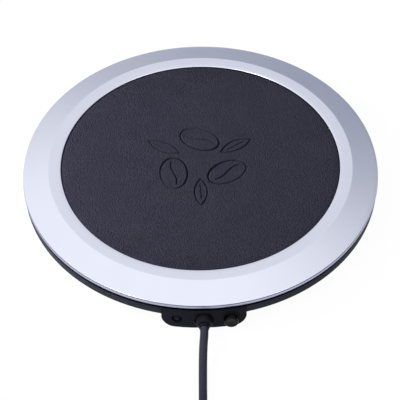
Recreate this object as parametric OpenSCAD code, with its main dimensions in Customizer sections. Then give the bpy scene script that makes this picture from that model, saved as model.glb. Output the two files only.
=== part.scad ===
// Electric mug warmer: a round low housing with a heated, leather-covered top,
// a push button and a lamp on a port block, and a low-voltage lead with a USB plug.
// Millimetres. Z is up from the table, the disc's axis is Z, and the port block faces -Y.

/* [Disc] */
// Outer radius of the trim ring
ring_r = 65; // [63.5:0.5:67]
// Height of the ring's flat band above the table
top_z = 15; // [14.9:0.1:16]
// Inner radius of the trim ring, round the leather
ring_inner_r = 51; // [50:0.25:52]
// Width of the flat band
band_w = 4.6; // [3:0.1:6]
// How far the bevel drops from the band to the lip
bevel_drop = 2.95; // [2.4:0.05:3.1]
// How far the leather lies below the band
leather_sink = 0.45; // [0.2:0.05:0.6]
// Thickness of the heating plate
plate_t = 2; // [1.5:0.1:2.2]

/* [Housing] */
// How far the housing's wall stands back from the ring's edge
wall_inset = 0.4; // [0.2:0.1:0.7]
// Thickness of the housing's wall
wall_t = 2; // [1.8:0.1:2.2]
// Height of the housing's rim above the table
rim_z = 9.5; // [9.4:0.05:9.6]
// Radius of the flat underside
under_r = 57.5; // [56:0.5:58]
// Height of the underside above the table
foot_h = 0.7; // [0.5:0.1:0.8]
// Outer radius of the non-slip ring
foot_r = 44.5; // [43:0.5:46]
// Width of the non-slip ring
foot_w = 6.5; // [4:0.5:8]
// Radius of the circle of housing screws
post_circle_r = 51; // [50.5:0.25:51.5]

/* [Port block] */
// How far the port block's face stands out of the ring's edge
port_out = 0.6; // [0.2:0.1:1]
// Width of the port block
port_w = 30; // [29:0.5:32]
// Sideways distance from the lead to the lamp and to the button
port_pitch = 9.5; // [9.3:0.1:9.8]
// Height of the lamp, the lead and the button above the table
port_z = 5.2; // [5.1:0.05:5.3]

/* [Button] */
// Diameter of the button's cap
cap_d = 5.1; // [4.6:0.1:5.2]
// How far the cap stands out of the port block
cap_out = 2.4; // [2:0.1:3]
// How far the button travels
cap_travel = 1.2; // [0.8:0.1:1.4]

/* [Lead] */
// Diameter of the lead
lead_d = 3; // [2.8:0.1:3.1]
// Mean radius of the wound coil
coil_mean_r = 17; // [16:0.5:18]
// Turns of the coil in each of its layers
coil_layer_turns = 2.5; // [1.5, 2.5, 3.5]
// Layers of the coil
coil_layers = 4; // [2, 4]

/* [Hidden] */
$fn = 96;
small_fn = 48;
wire_fn = 24;

// Usual rounding of a moulded edge and of a turned or cut one, and the clearance of a push fit
moulded_edge = 0.3;
fine_edge = 0.15;
fit_gap = 0.1;
// Extra length of a cutter, so that it passes right through
past = 0.1;

// Heights of the stack under the ring
deck_t = 1.6;
deck_z = rim_z + deck_t;
plate_z = deck_z + plate_t;
plate_gap = 0.4;
leather_z = top_z - leather_sink;
wall_r = ring_r - wall_inset;
film_t = 0.4;
felt_t = 2;
backing_t = 0.8;
film_z = deck_z - film_t;
felt_z = film_z - felt_t;
backing_z = felt_z - backing_t;

// Trim ring
ring_t = 1.5;
band_r = ring_inner_r + band_w;
band_edge = 0.4;
lip_step = 0.1;
bevel_r = ring_r - lip_step;
bevel_z = top_z - bevel_drop;
bevel_slope = bevel_drop / (bevel_r - band_r);
lip_groove_d = 0.35;
lip_groove_w = 0.35;
lip_groove_slope = 0.1;
lip_bead_z = bevel_z - 0.65;
lip_z = 10.7;
frame_r = ring_r - 1.8;
ring_hollow_r = frame_r - 1.6;

// Frame between ring and housing
deck_inner_r = 47.2;
disc_r = 46;
spigot_gap = 0.2;
spigot_z = 8.7;
boss_top_z = top_z - 3;
pilot_roof = 0.4;

// Three ears of the backing plate, and their bosses and screws
ear_count = 3;
ear_angle = 90;
ear_r = 56.5;
ear_w = 8;
ear_hole_r = 1.3;
ear_boss_r = 2.3;
ear_pilot_r = 1.1;
ear_screw_r = 1;
ear_head_r = 2.2;
ear_head_h = 1.4;

// Four posts of the housing, and those of the frame that stand on them
post_count = 4;
post_angle = 45;
post_r = 3.5;
post_sink = 0.5;
post_meet_z = 5.4;
post_hole_r = 1.4;
frame_post_r = 3;
frame_pilot_r = 1.25;
housing_screw_r = 1.2;
housing_head_r = 2.5;
housing_head_h = 1.8;

// Housing
floor_t = 1.5;
floor_z = foot_h + floor_t;
wall_foot_z = 5.6;
corner_t = 0.7;
inner_wall_r = wall_r - wall_t;
spigot_in_r = inner_wall_r - 2;
inner_foot_z = wall_foot_z + corner_t;
wall_round = 1.6;
under_round = 2;
inner_under_r = under_r - 0.5;
foot_groove_d = 0.7;
screw_recess_r = 2.8;
screw_recess_d = 2.5;
screw_head_z = foot_h + screw_recess_d;

// Port block: the face is round about the disc's axis, and the pocket behind it is too
port_corner_r = 5;
port_r = ring_r + port_out;
pocket_r = port_r - 1.8;
pocket_w = 26;
pocket_top_z = 8.4;
pocket_floor_z = 1.9;
pocket_corner_r = 1.5;
face_y = -port_r;
side_face_y = -sqrt(port_r * port_r - port_pitch * port_pitch);
lamp_x = -port_pitch;
button_x = port_pitch;
port_l = 20;
port_edge = 0.6;
outside_y = face_y - 5;
inside_y = face_y + 5.6;

// Lamp: its nose lies this far inside its hole
lamp_d = 3;
lamp_hole_d = 3.9;
lamp_l = 5.3;
lamp_sink = 0.8;
lamp_flange = 0.4;
lamp_flange_t = 1;
lamp_back_y = side_face_y + lamp_sink + lamp_l;

// Collar round the button
collar_r = 3.15;
collar_out = 0.4;
collar_root_y = side_face_y + 1.4;
collar_hole_gap = 0.15;
collar_hole_r = cap_d / 2 + collar_hole_gap;

// Board, and the slotted guides that hold its ends
board_y = face_y + 13.1;
board_t = 1.2;
board_w = 28;
board_low_z = floor_z;
board_high_z = 9.2;
board_gap = 0.05;
guide_x = 14;
guide_w = 2.4;
guide_l = 4.2;
guide_y = board_y - 1.5;
port_root_y = board_y + 2.5;
guide_h = 6.3;

// Strain relief: a dome in a recess, a groove and a collar, by distance out of the port block's face
relief_seat_y = face_y + 1.85;
relief_recess = 0.6;
relief_recess_r = 3.4;
relief_hole_r = 2.5;
relief_flange_r = 3.1;
relief_flange_t = 1.1;
relief_gap = 0.05;
relief_dome_r = 2.9;
relief_dome_out = 2.75;
relief_dome_round = 1.3;
relief_groove_r = 1.65;
relief_groove_w = 0.3;
relief_collar_r = 1.92;
relief_collar_taper = 0.15;
relief_out = 4;

// Clamp that holds the lead inside
clamp_x = 3.7;
clamp_y = board_y - 3.7;
clamp_l = 10.8;
clamp_w = 3.6;
clamp_t = 1.2;
clamp_post_r = 1.5;
clamp_pilot_r = 0.8;
clamp_pilot_z = 3;
clamp_hole_r = 1;
clamp_screw_r = 0.7;
clamp_head_h = 1;

// Button and switch
cap_front_y = side_face_y - cap_out;
cap_flange_r = 3;
cap_flange_y = face_y + 2.8;
cap_back_y = cap_flange_y + 0.8;
flange_gap = 0.3;
cap_flange_room = 0.4;
cap_edge = 0.35;
socket_l = 2.5;
switch_w = 5.8;
switch_front_y = cap_back_y + 3.5;
plunger_r = 1.3;
plunger_in = 0.6;
plunger_gap = 0.2;
plunger_room = 0.5;
spring_r = 2.2;
spring_wire_r = 0.18;

// Where the lead ends inside, its wires, and the heater's and the cut-out's
lead_end_y = board_y + 3.5;
wire_x = 8;
wire_y = board_y + 10.5;
wire_r = 0.6;
cutout_y = -30;
cutout_w = 8;
cutout_low_z = 6.6;
cutout_wire_x = 3.2;
service_gap = 0.5;

// The lead's route from the strain relief, along the table, to the coil
lead_r = lead_d / 2;
tie_t = 0.5;
coil_z = tie_t + lead_r;
lead_route = [[0, face_y - relief_out, port_z], [0, -72.6, 5.1], [-0.1, -76.5, 4.4],
              [-0.2, -81, 3.1], [-0.3, -86, 2], [-0.5, -91, lead_r], [-0.7, -98, lead_r],
              [-0.9, -106, lead_r], [-1.1, -114, lead_r], [-1.2, -122, 1.8],
              [-1.2, -128, coil_z], [-1.2, -133, coil_z]];
coil_end = [-1.2, -136];
coil_pitch = lead_d + 0.45;
coil_out_r = coil_mean_r + coil_layer_turns * coil_pitch / 2;
coil_in_r = coil_mean_r - coil_layer_turns * coil_pitch / 2;
coil_centre = [coil_end.x - coil_out_r, coil_end.y];
coil_turns = coil_layer_turns * coil_layers;
coil_rings = 24;
coil_top_z = coil_z + (coil_layers - 1) * coil_pitch;
// The free end, from the coil down to the table and round to the plug
plug_x = 20.4;
plug_y = -153;
plug_z = 3.75;
tail_route = [[-1.2, -139, coil_top_z], [-1.2, -142, coil_top_z], [-1.1, -147, 10.6],
              [-0.8, -152, 7.6], [-0.3, -157, 4.4], [0.6, -162, 2.2], [2.2, -166.5, lead_r],
              [5.2, -170.3, lead_r], [9.6, -172, lead_r], [14, -171, lead_r],
              [17.6, -168, lead_r], [19.6, -164, 1.9], [20.4, -160, 3],
              [20.4, -156, plug_z], [20.4, plug_y, plug_z]];

// Plug: a grip with a ribbed relief behind it, a metal shell, and a tongue with four contacts
plug_relief_l = 10;
plug_body_l = 22;
plug_body_w = 15.5;
plug_body_h = 7.5;
plug_body_edge = 1.6;
plug_relief_r = 3;
plug_core_r = 2;
plug_sink = 1;
rib_count = 3;
rib_pitch = 3;
rib_w = 1.2;
rib_first = 0.8;
rib_slope = 0.2;
rib_taper = 0.25;
plug_shell_l = 11.75;
plug_shell_w = 12;
plug_shell_h = 4.5;
plug_shell_t = 0.3;
plug_shell_edge = 0.4;
plug_window_w = 2.2;
plug_window_x = 2.9;
plug_window_y = 4.5;
plug_body_y = plug_y + plug_relief_l;
plug_mouth_y = plug_body_y + plug_body_l;
plug_tongue_w = 11.2;
plug_tongue_h = 1.85;
plug_tongue_l = 11;
plug_tongue_gap = 0.05;
plug_tongue_top_z = plug_z + plug_shell_h / 2 - plug_shell_t - plug_tongue_gap;
contact_count = 4;
contact_pitch = 2.25;
contact_w = 1;
contact_t = 0.15;
contact_l = 9.5;

// Points of a round corner: the arc of radius r that fits between the lines a-b and b-c
function unit(v) = v / norm(v);
function corner(a, b, c, r, steps) =
    let (u = unit(a - b), v = unit(c - b), half = acos(u * v) / 2)
    let (mid = b + unit(u + v) * r / sin(half))
    let (from = b + u * r / tan(half) - mid, to = b + v * r / tan(half) - mid)
    let (start = atan2(from.y, from.x), turn = atan2(to.y, to.x) - start)
    let (sweep = turn > 180 ? turn - 360 : turn < -180 ? turn + 360 : turn)
    [for (i = [0:steps]) mid + r * [cos(start + sweep * i / steps), sin(start + sweep * i / steps)]];

// An outline whose corners [x, y, radius] are rounded where the radius isn't 0
function rounded(corners, steps = 6) =
    let (n = len(corners), p = [for (c = corners) [c[0], c[1]]])
    [for (i = [0:n - 1])
        for (q = corners[i][2] == 0 ? [p[i]]
                 : corner(p[(i + n - 1) % n], p[i], p[(i + 1) % n], corners[i][2], steps)) q];

// One ring of a tube: n points round p, across the direction d, with a point straight above p
function tube_ring(p, d, r, n) =
    let (side = unit([d.y, -d.x, 0]), over = cross(side, d))
    [for (k = [0:n - 1]) p + r * (sin(360 * k / n) * side + cos(360 * k / n) * over)];

// The direction of a route at its point i
function heading(route, i) = unit(route[min(i + 1, len(route) - 1)] - route[max(i - 1, 0)]);

// The length of a route
function route_length(route, i = 1) =
    i >= len(route) ? 0 : norm(route[i] - route[i - 1]) + route_length(route, i + 1);

// Radius of the coil after t turns: in and out again at a steady rate, from layer to layer
function coil_r(t) =
    let (layer = min(floor(t / coil_layer_turns), coil_layers - 1))
    let (share = t / coil_layer_turns - layer)
    layer % 2 == 0 ? coil_out_r + (coil_in_r - coil_out_r) * share
                   : coil_in_r + (coil_out_r - coil_in_r) * share;

// Height of the coil after t turns: it climbs one layer in the half turn round each reversal
function coil_height(t) =
    coil_z + coil_pitch * (coil_layers < 2 ? 0 : climbs(t, 1));
function climbs(t, k) =
    k >= coil_layers ? 0
    : min(max((t - k * coil_layer_turns) * 2 + 0.5, 0), 1) + climbs(t, k + 1);

// The coil's centre line, with both ends straight for one diameter of the lead
function coil_point(t) =
    let (r = coil_r(t))
    [coil_centre.x + r * cos(360 * t), coil_centre.y - r * sin(360 * t), coil_height(t)];
coil_route = concat([[coil_end.x, coil_end.y + lead_d, coil_z]],
                    [for (i = [0:coil_turns * coil_rings]) coil_point(i / coil_rings)],
                    [[coil_end.x, coil_end.y - lead_d, coil_top_z]]);

// Least gap between stretches of the coil, or of the coil and its tail, that aren't neighbours
apart = coil_rings * 3 / 4;
coil_gap = min([for (i = [0:len(coil_route) - 1]) for (j = [i + apart:1:len(coil_route) - 1])
                norm(coil_route[i] - coil_route[j])]) - lead_d;
tail_gap = min([for (p = tail_route) for (j = [0:len(coil_route) - apart])
                norm(p - coil_route[j])]) - lead_d;
echo("least gap of the coil to itself", coil_gap);
echo("least gap of the tail to the coil", tail_gap);
echo("length of the lead", route_length(lead_route) + route_length(coil_route)
                           + route_length(tail_route));

// A closed tube swept along a route
module tube(route, r, sides) {
    last = len(route) - 1;
    points = [for (i = [0:last]) for (q = tube_ring(route[i], heading(route, i), r, sides)) q];
    walls = [for (i = [0:last - 1]) for (k = [0:sides - 1])
             let (a = i * sides + k, b = i * sides + (k + 1) % sides)
             for (f = [[a, b, b + sides], [a, b + sides, a + sides]]) f];
    ends = [for (k = [1:sides - 2]) for (f = [[0, k + 1, k],
            [last * sides, last * sides + k, last * sides + k + 1]]) f];
    polyhedron(points, concat(walls, ends));
}

// A solid turned about a line along Y: outline points are [radius, distance towards -Y]
module turned_y(x, y, z) {
    translate([x, y, z]) rotate([90, 0, 0]) rotate_extrude() children();
}

module rod_y(x, z, r, y0, y1) {
    translate([x, y1, z]) rotate([90, 0, 0]) cylinder(r = r, h = y1 - y0, $fn = small_fn);
}

module both_sides() {
    children();
    mirror([1, 0, 0]) children();
}

module around(count, first, radius) {
    for (i = [0:count - 1]) rotate(first + 360 * i / count) translate([radius, 0, 0]) children();
}

// A screw with its head below head_z and its shank above, and a cross slot in the head
module pan_screw(head_z, head_r, head_h, shank_r, shank_l) {
    slot_w = 0.5;
    slot_l = head_r * 1.1;
    translate([0, 0, head_z - head_h]) difference() {
        rotate_extrude($fn = small_fn) polygon(rounded([
            [0, 0, 0], [head_r, 0, head_h / 3], [head_r, head_h, 0], [0, head_h, 0]]));
        translate([0, 0, -past]) for (turn = [0, 90]) rotate(turn)
            translate([-slot_l / 2, -slot_w / 2, 0]) cube([slot_l, slot_w, head_h / 2 + past]);
    }
    translate([0, 0, head_z]) cylinder(r = shank_r, h = shank_l, $fn = small_fn);
}

// Outline of the port block or its pocket in the XZ plane, with round lower corners
module port_outline(width, low, high, r) {
    hull_low = low + r;
    translate([-width / 2, hull_low]) square([width, high - hull_low]);
    translate([-width / 2 + r, low]) square([width - 2 * r, high - low]);
    for (side = [-1, 1]) translate([side * (width / 2 - r), hull_low]) circle(r = r);
}

module port_prism(width, low, high, r, from_y) {
    translate([0, from_y, 0]) rotate([90, 0, 0]) linear_extrude(port_l)
        port_outline(width, low, high, r);
}

module bowl() {
    rotate_extrude() polygon(rounded([
        [0, foot_h, 0], [under_r, foot_h, under_round], [wall_r, wall_foot_z, wall_round],
        [wall_r, rim_z, moulded_edge], [inner_wall_r, rim_z, 0],
        [inner_wall_r, inner_foot_z, wall_round / 2], [inner_under_r, floor_z, under_round / 2],
        [0, floor_z, 0]]));
}

module port_block() {
    intersection() {
        rotate_extrude() polygon(rounded([
            [0, 0, 0], [port_r, 0, port_edge * 2], [port_r, rim_z, port_edge], [0, rim_z, 0]]));
        difference() {
            port_prism(port_w, foot_h, rim_z, port_corner_r, port_root_y);
            translate([0, 0, floor_z]) cylinder(r = inner_under_r, h = rim_z);
            translate([0, 0, inner_foot_z]) cylinder(r = inner_wall_r, h = rim_z);
        }
    }
}

// Room behind the port block's front wall
module port_pocket() {
    intersection() {
        cylinder(r = pocket_r, h = pocket_top_z);
        port_prism(pocket_w, pocket_floor_z, pocket_top_z, pocket_corner_r, board_y + past);
    }
}

// Posts, guides and the button's collar, which stand on the shell
module shell_posts() {
    rod_y(button_x, port_z, collar_r, side_face_y - collar_out, collar_root_y);
    translate([0, 0, foot_h + post_sink]) {
        around(post_count, post_angle, post_circle_r)
            cylinder(r = post_r, h = post_meet_z - foot_h - post_sink, $fn = small_fn);
        both_sides() {
            translate([guide_x - guide_w / 2, guide_y, 0]) cube([guide_w, guide_l, guide_h]);
            translate([clamp_x, clamp_y, 0])
                cylinder(r = clamp_post_r, h = port_z + lead_r - foot_h - post_sink, $fn = small_fn);
        }
    }
}

// Holes through the port block's front wall, from the left: lamp, strain relief, button
module port_holes() {
    rod_y(lamp_x, port_z, lamp_hole_d / 2, outside_y, inside_y);
    rod_y(0, port_z, relief_hole_r, outside_y, inside_y);
    rod_y(0, port_z, relief_recess_r, outside_y, face_y + relief_recess);
    rod_y(0, port_z, relief_flange_r + flange_gap, relief_seat_y, inside_y);
    rod_y(button_x, port_z, collar_hole_r, outside_y, inside_y);
    rod_y(button_x, port_z, cap_flange_r + flange_gap, cap_flange_y - cap_flange_room, inside_y);
}

// Groove for the non-slip ring, and the recessed screw holes
module underside_cuts() {
    translate([0, 0, foot_h - past]) difference() {
        cylinder(r = foot_r + fit_gap, h = foot_groove_d + past);
        translate([0, 0, -past])
            cylinder(r = foot_r - foot_w - fit_gap, h = foot_groove_d + 3 * past);
    }
    around(post_count, post_angle, post_circle_r) {
        translate([0, 0, foot_h - past])
            cylinder(r = screw_recess_r, h = screw_recess_d + past, $fn = small_fn);
        cylinder(r = post_hole_r, h = rim_z, $fn = small_fn);
    }
}

module base_shell() {
    color("#2b2a30") difference() {
        union() {
            difference() {
                union() {
                    bowl();
                    port_block();
                }
                port_pocket();
            }
            shell_posts();
        }
        underside_cuts();
        port_holes();
        both_sides() {
            translate([board_w / 2 + board_gap - guide_w, board_y - board_gap, floor_z])
                cube([guide_w, board_t + 2 * board_gap, guide_h]);
            translate([clamp_x, clamp_y, clamp_pilot_z])
                cylinder(r = clamp_pilot_r, h = port_z, $fn = small_fn);
        }
    }
}

// A ring deck with a spigot inside the housing's rim, posts below it and bosses for the ear screws
module top_frame() {
    spigot_r = inner_wall_r - spigot_gap;
    color("#1d1c22") difference() {
        union() {
            rotate_extrude() polygon([
                [deck_inner_r, rim_z], [spigot_in_r, rim_z], [spigot_in_r, spigot_z],
                [spigot_r, spigot_z], [spigot_r, rim_z], [frame_r, rim_z], [frame_r, deck_z],
                [deck_inner_r, deck_z]]);
            around(post_count, post_angle, post_circle_r) translate([0, 0, post_meet_z])
                cylinder(r = frame_post_r, h = deck_z - post_meet_z, $fn = small_fn);
            around(ear_count, ear_angle, ear_r) translate([0, 0, felt_z])
                cylinder(r = ear_boss_r, h = boss_top_z - felt_z, $fn = small_fn);
        }
        around(post_count, post_angle, post_circle_r) translate([0, 0, post_meet_z - past])
            cylinder(r = frame_pilot_r, h = deck_z - post_meet_z - pilot_roof + past, $fn = small_fn);
        around(ear_count, ear_angle, ear_r) translate([0, 0, felt_z - past])
            cylinder(r = ear_pilot_r, h = boss_top_z - felt_z - pilot_roof + past, $fn = small_fn);
    }
}

// One turned profile: inner wall, flat band, bevel, a fine groove under its edge, lip, and the hollow
module trim_ring() {
    under_z = top_z - ring_t;
    groove_r = bevel_r - lip_groove_d;
    groove_top_z = lip_bead_z + lip_groove_w;
    color("#d5d8e2") rotate_extrude($fn = 180) polygon(rounded([
        [ring_inner_r, deck_z, 0], [ring_inner_r, top_z, fine_edge], [band_r, top_z, band_edge],
        [bevel_r, bevel_z, fine_edge], [bevel_r, groove_top_z + lip_groove_slope, 0],
        [groove_r, groove_top_z, 0], [groove_r, lip_bead_z, 0],
        [ring_r, lip_bead_z, fine_edge], [ring_r, lip_z, fine_edge], [ring_r - ring_t, lip_z, 0],
        [ring_r - ring_t, deck_z, 0], [ring_hollow_r, deck_z, 0],
        [ring_hollow_r, under_z - bevel_slope * (ring_hollow_r - band_r), 0],
        [band_r, under_z, 0], [ring_inner_r + ring_t, under_z, 0],
        [ring_inner_r + ring_t, deck_z, 0]]));
}

// The leather's edge rolls down a little towards the ring
module leather_pad() {
    roll_w = 1.6;
    roll_d = 0.2;
    edge_r = ring_inner_r - fit_gap;
    color("#3f3e4c") rotate_extrude($fn = 180) polygon(rounded([
        [0, plate_z, 0], [edge_r, plate_z, fine_edge], [edge_r, leather_z - roll_d, moulded_edge],
        [edge_r - roll_w, leather_z, roll_w * 2], [0, leather_z, 0]]));
}

module heating_plate() {
    plate_r = ring_inner_r - plate_gap;
    color("#c4c6c9") translate([0, 0, deck_z])
        rotate_extrude() polygon(rounded([
            [0, 0, 0], [plate_r, 0, fine_edge], [plate_r, plate_t, fine_edge], [0, plate_t, 0]]));
}

module heater_film() {
    color("#b9742c") translate([0, 0, film_z]) cylinder(r = disc_r, h = film_t);
}

// Holes through the felt and the backing plate for the wires and the cut-out
module service_holes(low, high) {
    window_w = cutout_w + 2 * service_gap;
    both_sides() translate([wire_x, wire_y, low])
        cylinder(r = wire_r + service_gap, h = high - low, $fn = small_fn);
    translate([-window_w / 2, cutout_y - window_w / 2, low])
        cube([window_w, window_w, high - low]);
}

module insulation_pad() {
    color("#d9d4c4") difference() {
        translate([0, 0, felt_z]) cylinder(r = disc_r, h = felt_t);
        service_holes(felt_z - past, film_z + past);
    }
}

module backing_plate() {
    ear_root_r = disc_r - ear_w / 2;
    color("#9a9da1") difference() {
        translate([0, 0, backing_z]) linear_extrude(backing_t) {
            circle(r = disc_r);
            around(ear_count, ear_angle, 0) translate([ear_root_r, -ear_w / 2])
                square([ear_r - ear_root_r, ear_w]);
            around(ear_count, ear_angle, ear_r) circle(r = ear_w / 2);
        }
        service_holes(backing_z - past, felt_z + past);
        around(ear_count, ear_angle, ear_r) translate([0, 0, backing_z - past])
            cylinder(r = ear_hole_r, h = backing_t + 2 * past, $fn = small_fn);
    }
}

module backing_screws() {
    color("#b5b7ba") around(ear_count, ear_angle, ear_r)
        pan_screw(backing_z, ear_head_r, ear_head_h, ear_screw_r,
                  boss_top_z - backing_z - 2 * pilot_roof);
}

module housing_screws() {
    color("#b5b7ba") around(post_count, post_angle, post_circle_r)
        pan_screw(screw_head_z, housing_head_r, housing_head_h, housing_screw_r,
                  deck_z - screw_head_z - 2 * pilot_roof);
}

module non_slip_ring() {
    inner_r = foot_r - foot_w;
    seat_z = foot_h + foot_groove_d;
    color("#242427") rotate_extrude() polygon(rounded([
        [inner_r, 0, moulded_edge], [foot_r, 0, moulded_edge], [foot_r, seat_z, 0],
        [inner_r, seat_z, 0]]));
}

// The board's lower edge has a notch that the lead passes through
module circuit_board() {
    notch_w = 4.4;
    notch_high_z = port_z + 2;
    color("#2f6b4a") difference() {
        translate([-board_w / 2, board_y, board_low_z])
            cube([board_w, board_t, board_high_z - board_low_z]);
        translate([-notch_w / 2, board_y - past, board_low_z - past])
            cube([notch_w, board_t + 2 * past, notch_high_z - board_low_z + past]);
    }
}

module switch_body() {
    color("#3a3a3e") difference() {
        translate([button_x - switch_w / 2, switch_front_y, port_z - switch_w / 2])
            cube([switch_w, board_y - switch_front_y, switch_w]);
        rod_y(button_x, port_z, plunger_r + plunger_gap, switch_front_y - past,
              switch_front_y + plunger_in + cap_travel + plunger_room);
    }
}

module switch_plunger() {
    color("#e4e2da")
        rod_y(button_x, port_z, plunger_r, cap_back_y - socket_l, switch_front_y + plunger_in);
}

module button_cap() {
    long = cap_back_y - cap_front_y;
    flange = cap_back_y - cap_flange_y;
    socket_r = plunger_r + fit_gap / 2;
    color("#232228") turned_y(button_x, cap_back_y, port_z)
        polygon(rounded([
            [0, long, 0], [cap_d / 2, long, cap_edge], [cap_d / 2, flange, 0],
            [cap_flange_r, flange, 0], [cap_flange_r, 0, 0], [socket_r, 0, 0],
            [socket_r, socket_l, 0], [0, socket_l, 0]]));
}

// Return spring round the plunger, between the cap's flange and the switch
module button_spring() {
    turns = 4;
    rings = 8;
    end_gap = spring_wire_r + fit_gap / 2;
    long = switch_front_y - cap_back_y - 2 * end_gap;
    coil = [for (i = [0:turns * rings])
        let (a = 360 * i / rings)
        [spring_r * cos(a), spring_r * sin(a), long * i / (turns * rings)]];
    color("#a9acb0") translate([button_x, cap_back_y + end_gap, port_z]) rotate([-90, 0, 0])
        tube(coil, spring_wire_r, 6);
}

// Lamp: a round-nosed body with a flange, standing back in its hole
module indicator_led() {
    r = lamp_d / 2;
    color("#22262b") turned_y(lamp_x, lamp_back_y, port_z)
        intersection() {
            union() {
                translate([0, lamp_l - r]) circle(r = r, $fn = small_fn);
                square([r, lamp_l - r]);
                square([r + lamp_flange, lamp_flange_t]);
            }
            square([r + lamp_flange, lamp_l]);
        }
}

module led_legs() {
    leg_w = 0.5;
    leg_pitch = 2.54;
    color("#c9cbce") for (side = [-1, 1])
        translate([lamp_x + (side * leg_pitch - leg_w) / 2, lamp_back_y, port_z - leg_w / 2])
            cube([leg_w, board_y - lamp_back_y, leg_w]);
}

// A flange inside the wall, a stem through it, then the dome, the groove and the collar outside
module strain_relief() {
    seat = face_y - relief_seat_y;
    back = seat - relief_flange_t;
    stem_r = relief_hole_r - relief_gap;
    bore_r = lead_r + relief_gap;
    groove_out = relief_dome_out + relief_groove_w;
    color("#2e2d33") turned_y(0, face_y, port_z)
        polygon(rounded([
            [bore_r, back, 0], [relief_flange_r, back, fine_edge], [relief_flange_r, seat, 0],
            [stem_r, seat, 0], [stem_r, -relief_recess, 0], [relief_dome_r, -relief_recess, 0],
            [relief_dome_r, relief_dome_out, relief_dome_round],
            [relief_groove_r, relief_dome_out, 0],
            [relief_groove_r, groove_out, 0], [relief_collar_r, groove_out, fine_edge / 2],
            [relief_collar_r - relief_collar_taper, relief_out, fine_edge / 2],
            [bore_r, relief_out, 0]]));
}

module lead_end() {
    color("#2e2d33") rod_y(0, port_z, lead_r, face_y - relief_out, lead_end_y);
}

module cord_clamp() {
    color("#3a3a3e") difference() {
        translate([-clamp_l / 2, clamp_y - clamp_w / 2, port_z + lead_r])
            cube([clamp_l, clamp_w, clamp_t]);
        both_sides() translate([clamp_x, clamp_y, 0])
            cylinder(r = clamp_hole_r, h = rim_z, $fn = small_fn);
    }
}

module clamp_screws() {
    head_z = port_z + lead_r + clamp_t;
    tip_z = clamp_pilot_z + pilot_roof;
    color("#b5b7ba") both_sides() translate([clamp_x, clamp_y, 0]) {
        translate([0, 0, head_z]) cylinder(r = clamp_post_r, h = clamp_head_h, $fn = small_fn);
        translate([0, 0, tip_z]) cylinder(r = clamp_screw_r, h = head_z - tip_z, $fn = small_fn);
    }
}

// Each supply wire leaves the lead, turns back in a half circle and ends at the board
module supply_wires() {
    bend_r = 2.2;
    supply_r = 0.5;
    first_x = lead_r - supply_r - 0.4;
    for (side = [-1, 1]) color(side > 0 ? "#b3352c" : "#26262a")
        translate([side * (bend_r + first_x), lead_end_y, port_z]) {
            rotate_extrude(angle = 180, $fn = small_fn) translate([bend_r, 0])
                circle(r = supply_r, $fn = wire_fn);
            translate([side * bend_r, 0, 0]) rotate([90, 0, 0])
                cylinder(r = supply_r, h = lead_end_y - board_y - board_t, $fn = wire_fn);
        }
}

// Each heater wire drops from the film, bends forward and ends at the board
module heater_wires() {
    bend_r = 2.5;
    bend_z = 8.9;
    color("#d8d2c2") for (side = [-1, 1]) translate([side * wire_x, wire_y, 0]) {
        translate([0, 0, bend_z]) cylinder(r = wire_r, h = film_z - bend_z, $fn = wire_fn);
        translate([0, -bend_r, bend_z]) rotate([0, 90, 0])
            rotate_extrude(angle = 90, $fn = small_fn) translate([bend_r, 0])
                circle(r = wire_r, $fn = wire_fn);
        translate([0, -bend_r, bend_z - bend_r]) rotate([90, 0, 0])
            cylinder(r = wire_r, h = wire_y - bend_r - board_y - board_t, $fn = wire_fn);
    }
}

// A flat thermostat against the film, in the window of felt and backing plate
module thermal_cutout() {
    color("#b7a98a") translate([-cutout_w / 2, cutout_y - cutout_w / 2, cutout_low_z])
        cube([cutout_w, cutout_w, film_z - cutout_low_z]);
}

module cutout_wires() {
    front_y = cutout_y - cutout_w / 2;
    color("#d8d2c2") for (side = [-1, 1])
        rod_y(side * cutout_wire_x, cutout_low_z + wire_r, wire_r, board_y + board_t, front_y);
}

module power_cord() {
    color("#2f2e35") tube(lead_route, lead_r, 8);
}

module cord_coil() {
    color("#2f2e35") tube(coil_route, lead_r, 6);
}

module cord_tail() {
    color("#2f2e35") tube(tail_route, lead_r, 8);
}

// Strap round the coil, on the side away from the housing
module cord_tie() {
    width = 6;
    slack = 0.2;
    low_round = 0.8;
    top_round = 1.4;
    inner_low = coil_in_r - lead_r - slack;
    inner_high = coil_out_r + lead_r - slack;
    top = coil_top_z + lead_r + fit_gap;
    color("#1f1f22") translate([coil_centre.x + width / 2, coil_centre.y, 0])
        rotate([90, 0, -90]) linear_extrude(width) difference() {
            polygon(rounded([
                [inner_low - tie_t, 0, low_round], [inner_high + tie_t, 0, low_round],
                [inner_high + tie_t, top + tie_t, top_round],
                [inner_low - tie_t, top + tie_t, top_round]]));
            polygon(rounded([
                [inner_low, tie_t, low_round - tie_t], [inner_high, tie_t, low_round - tie_t],
                [inner_high, top, top_round - tie_t], [inner_low, top, top_round - tie_t]]));
        }
}

// An upright rectangle round the origin, with its corners rounded
module rounded_rectangle(w, h, r) {
    polygon(rounded([[-w / 2, -h / 2, r], [w / 2, -h / 2, r], [w / 2, h / 2, r], [-w / 2, h / 2, r]]));
}

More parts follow.
